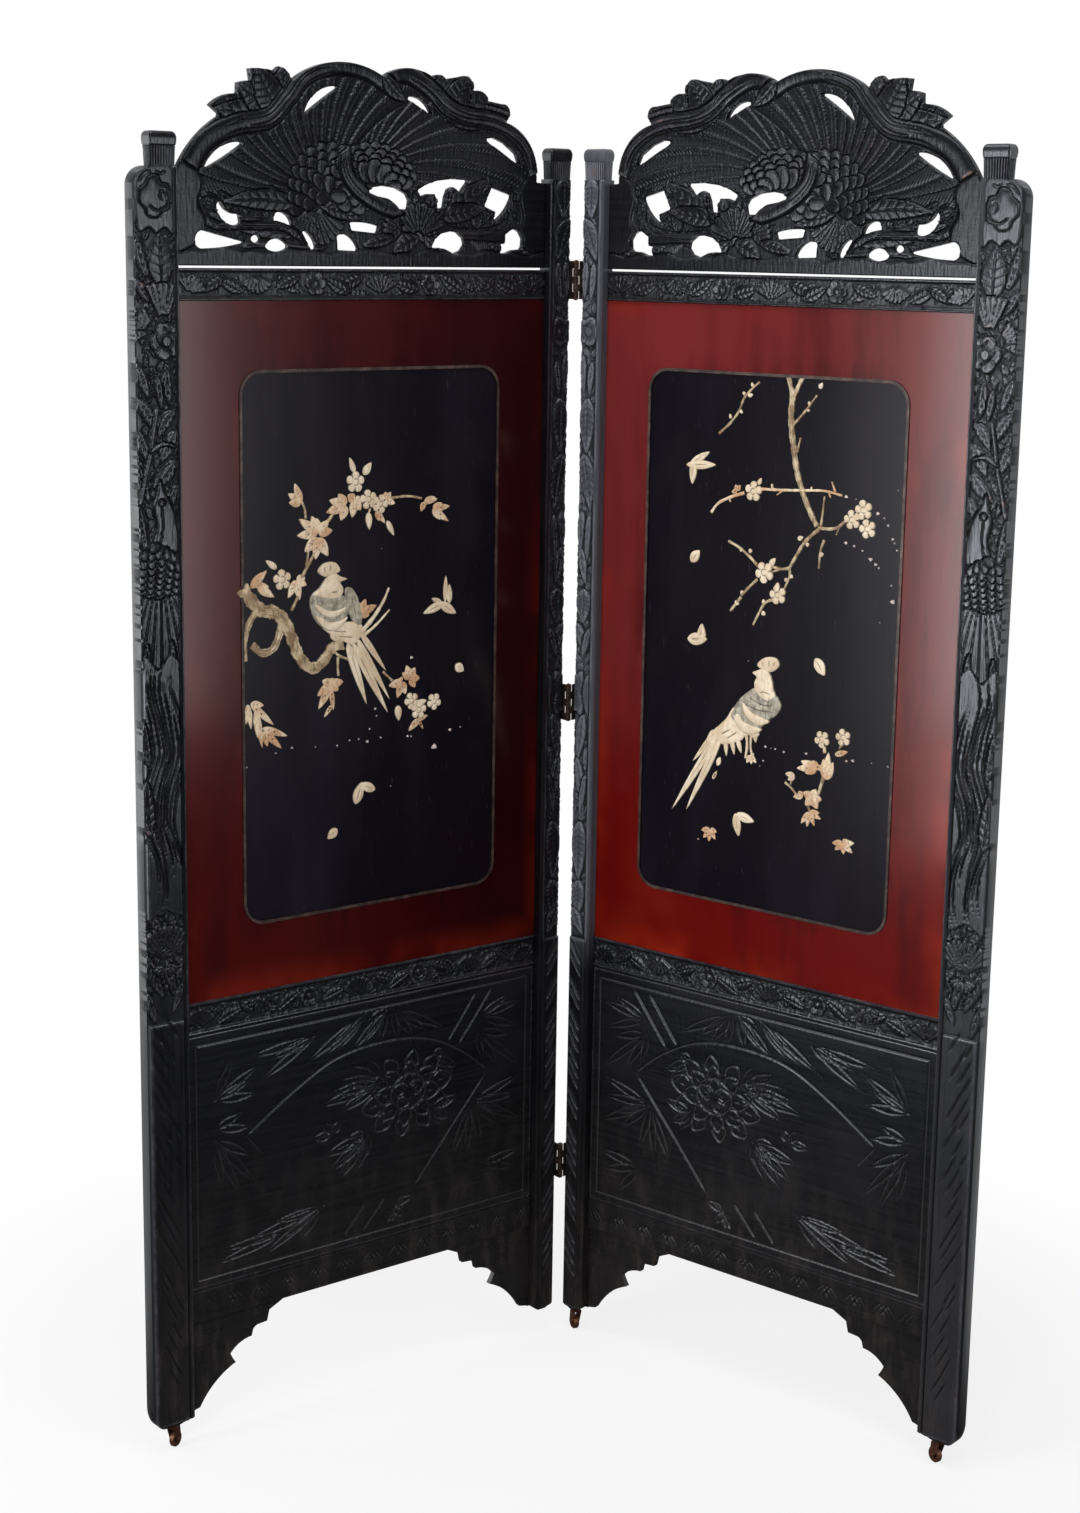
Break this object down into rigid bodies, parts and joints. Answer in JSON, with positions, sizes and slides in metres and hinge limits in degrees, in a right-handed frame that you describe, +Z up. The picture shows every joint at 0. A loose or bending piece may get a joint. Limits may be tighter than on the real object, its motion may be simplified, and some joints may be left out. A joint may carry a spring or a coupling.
{
  "type": "folding screen",
  "caption": "Hinged folding screen of carved black wood with inlaid lacquer panels, pierced arched crests, scrolled brackets under the frames and small swivel castors.",
  "frame": {"origin": "on the floor, under the middle of the open screen's box", "axes": "+Z up, -Y towards the side that the carved faces look to, +X towards the right-hand leaf seen from there"},
  "size_m": [1.1004, 0.4464, 1.83],
  "materials": {
    "black_wood": "satin black, worn brown on the edges",
    "lacquer": "gloss lacquer, dark red border round a blue-black field",
    "bead_gilt": "worn pale brown",
    "inlay_grey": "polished shell and bone",
    "inlay_brown": "polished, mottled",
    "inlay_cream": "polished bone",
    "inlay_tan": "polished horn and bone",
    "aged_brass": "brown, aged"
  },
  "bodies": {
    "left_leaf": {"hinge_pin_high": "aged_brass", "hinge_pin_low": "aged_brass", "hinge_pin_middle": "aged_brass", "left_bead": "bead_gilt", "left_bird": "inlay_grey", "left_blossoms": "inlay_cream", "left_bottom_rail": "black_wood", "left_branch": "inlay_brown", "left_crest": "black_wood", "left_hinge_plate_high": "aged_brass", "left_hinge_plate_low": "aged_brass", "left_hinge_plate_middle": "aged_brass", "left_hinge_screws": "aged_brass", "left_inner_bracket": "black_wood", "left_inner_finial": "black_wood", "left_inner_stile": "black_wood", "left_lacquer_panel": "lacquer", "left_lower_panel": "black_wood", "left_mid_rail": "black_wood", "left_outer_bracket": "black_wood", "left_outer_castor_stem": "aged_brass", "left_outer_finial": "black_wood", "left_outer_stile": "black_wood", "left_petals": "inlay_tan", "left_top_rail": "black_wood"},
    "right_leaf": {"right_bead": "bead_gilt", "right_bird": "inlay_grey", "right_blossoms": "inlay_cream", "right_bottom_rail": "black_wood", "right_branch": "inlay_brown", "right_crest": "black_wood", "right_hinge_plate_high": "aged_brass", "right_hinge_plate_low": "aged_brass", "right_hinge_plate_middle": "aged_brass", "right_hinge_screws": "aged_brass", "right_inner_bracket": "black_wood", "right_inner_castor_stem": "aged_brass", "right_inner_finial": "black_wood", "right_inner_stile": "black_wood", "right_lacquer_panel": "lacquer", "right_lower_panel": "black_wood", "right_mid_rail": "black_wood", "right_outer_bracket": "black_wood", "right_outer_castor_stem": "aged_brass", "right_outer_finial": "black_wood", "right_outer_stile": "black_wood", "right_petals": "inlay_tan", "right_top_rail": "black_wood"},
    "left_outer_castor_fork": {"left_outer_castor_axle": "aged_brass", "left_outer_castor_fork": "aged_brass"},
    "left_outer_castor_wheel": {"left_outer_castor_wheel": "aged_brass"},
    "right_outer_castor_fork": {"right_outer_castor_axle": "aged_brass", "right_outer_castor_fork": "aged_brass"},
    "right_outer_castor_wheel": {"right_outer_castor_wheel": "aged_brass"},
    "right_inner_castor_fork": {"right_inner_castor_axle": "aged_brass", "right_inner_castor_fork": "aged_brass"},
    "right_inner_castor_wheel": {"right_inner_castor_wheel": "aged_brass"}
  },
  "joints": [
    {"name": "leaf_fold", "type": "hinge", "parent": "left_leaf", "child": "right_leaf", "pos_m": [0, 0.203, 0], "axis": [0, 0, 1], "range_deg": [-102, 88]},
    {"name": "left_outer_castor_swivel", "type": "hinge", "parent": "left_leaf", "child": "left_outer_castor_fork", "pos_m": [-0.51808, -0.19424, 0.032], "axis": [0, 0, 1], "continuous": true},
    {"name": "left_outer_castor_roll", "type": "hinge", "parent": "left_outer_castor_fork", "child": "left_outer_castor_wheel", "pos_m": [-0.51584, -0.18868, 0.011], "axis": [0.9272, -0.3746, 0], "continuous": true},
    {"name": "right_outer_castor_swivel", "type": "hinge", "parent": "right_leaf", "child": "right_outer_castor_fork", "pos_m": [0.51808, -0.19424, 0.032], "axis": [0, 0, 1], "continuous": true},
    {"name": "right_outer_castor_roll", "type": "hinge", "parent": "right_outer_castor_fork", "child": "right_outer_castor_wheel", "pos_m": [0.5149, -0.18915, 0.011], "axis": [0.848, 0.5299, 0], "continuous": true},
    {"name": "right_inner_castor_swivel", "type": "hinge", "parent": "right_leaf", "child": "right_inner_castor_fork", "pos_m": [0.02863, 0.20282, 0.032], "axis": [0, 0, 1], "continuous": true},
    {"name": "right_inner_castor_roll", "type": "hinge", "parent": "right_inner_castor_fork", "child": "right_inner_castor_wheel", "pos_m": [0.02619, 0.2083, 0.011], "axis": [0.9135, 0.4067, 0], "continuous": true}
  ]
}
